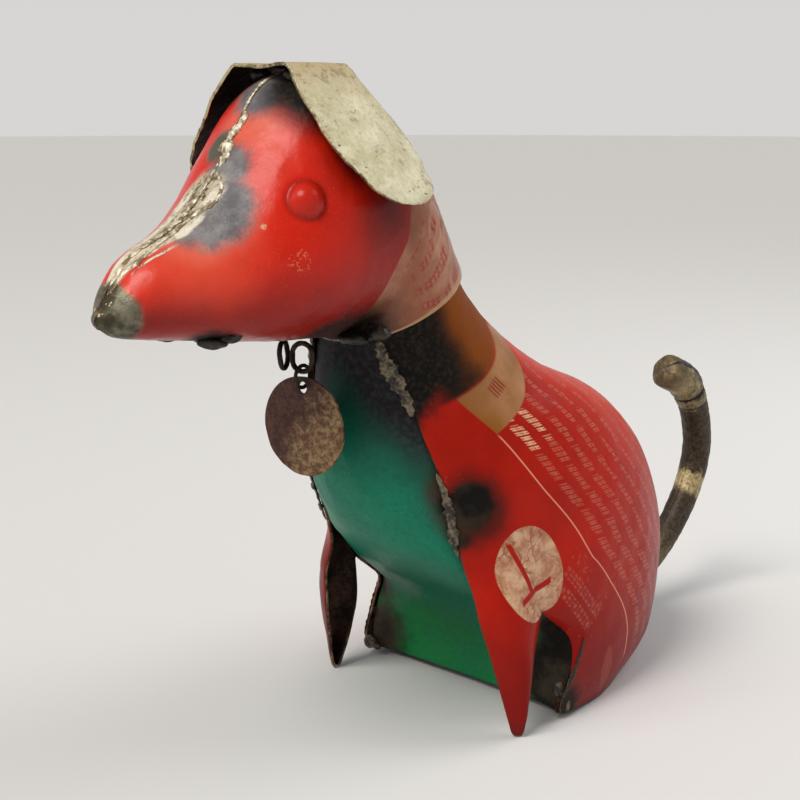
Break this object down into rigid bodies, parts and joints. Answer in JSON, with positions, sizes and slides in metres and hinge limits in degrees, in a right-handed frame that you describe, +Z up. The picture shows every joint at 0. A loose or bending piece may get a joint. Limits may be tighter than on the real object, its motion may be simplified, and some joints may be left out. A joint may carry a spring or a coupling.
{
  "type": "scrap metal dog sculpture",
  "caption": "Small sitting dog welded together from cut and curled painted scrap sheet, with folded strip ears, rolled tail and a round tag hanging below the jaw.",
  "frame": {"origin": "on the standing plane under the middle of the figure's box", "axes": "+X to the dog's left side, -Y the way it looks, +Z up"},
  "size_m": [0.0898, 0.2748, 0.1966],
  "materials": {
    "red_paint": "old gloss paint on thin sheet, burnt along the welds",
    "green_paint": "old satin paint on thin sheet, sooty at the edges",
    "cream_paint": "chalky scratched paint",
    "bare_steel": "heat-darkened bare sheet and wire",
    "rusted_steel": "rusty flattened disc"
  },
  "bodies": {
    "root": {"head_left": "red_paint", "head_right": "red_paint", "side_left": "red_paint", "side_right": "red_paint", "chest": "green_paint", "seat": "bare_steel", "ears": "cream_paint", "tail": "bare_steel", "tag": "rusted_steel", "tag_ring": "bare_steel", "jaw_link_near": "bare_steel", "jaw_link_far": "bare_steel"}
  },
  "joints": []
}
